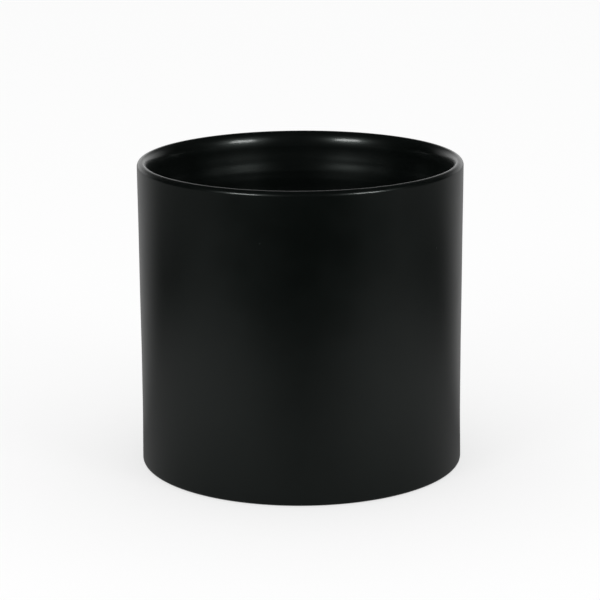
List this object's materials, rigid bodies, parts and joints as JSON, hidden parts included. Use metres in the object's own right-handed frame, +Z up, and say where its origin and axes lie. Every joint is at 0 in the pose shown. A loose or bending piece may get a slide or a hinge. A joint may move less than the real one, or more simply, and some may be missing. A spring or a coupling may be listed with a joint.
{
  "type": "candle jar",
  "caption": "Empty straight-sided stoneware candle jar with a satin black glaze, a rounded lip and a bare foot ring.",
  "frame": {"origin": "centre of the foot ring, on the surface the jar stands on", "axes": "+Z up the jar's own axis, out of its mouth; X and Y are any two directions at right angles, as the jar is round"},
  "size_m": [0.1, 0.1, 0.095],
  "materials": {
    "bare_stoneware": "matte",
    "black_glaze": "satin"
  },
  "bodies": {
    "root": {"stoneware_body": "bare_stoneware", "glaze_coat": "black_glaze", "underside_glaze": "black_glaze"}
  },
  "joints": []
}
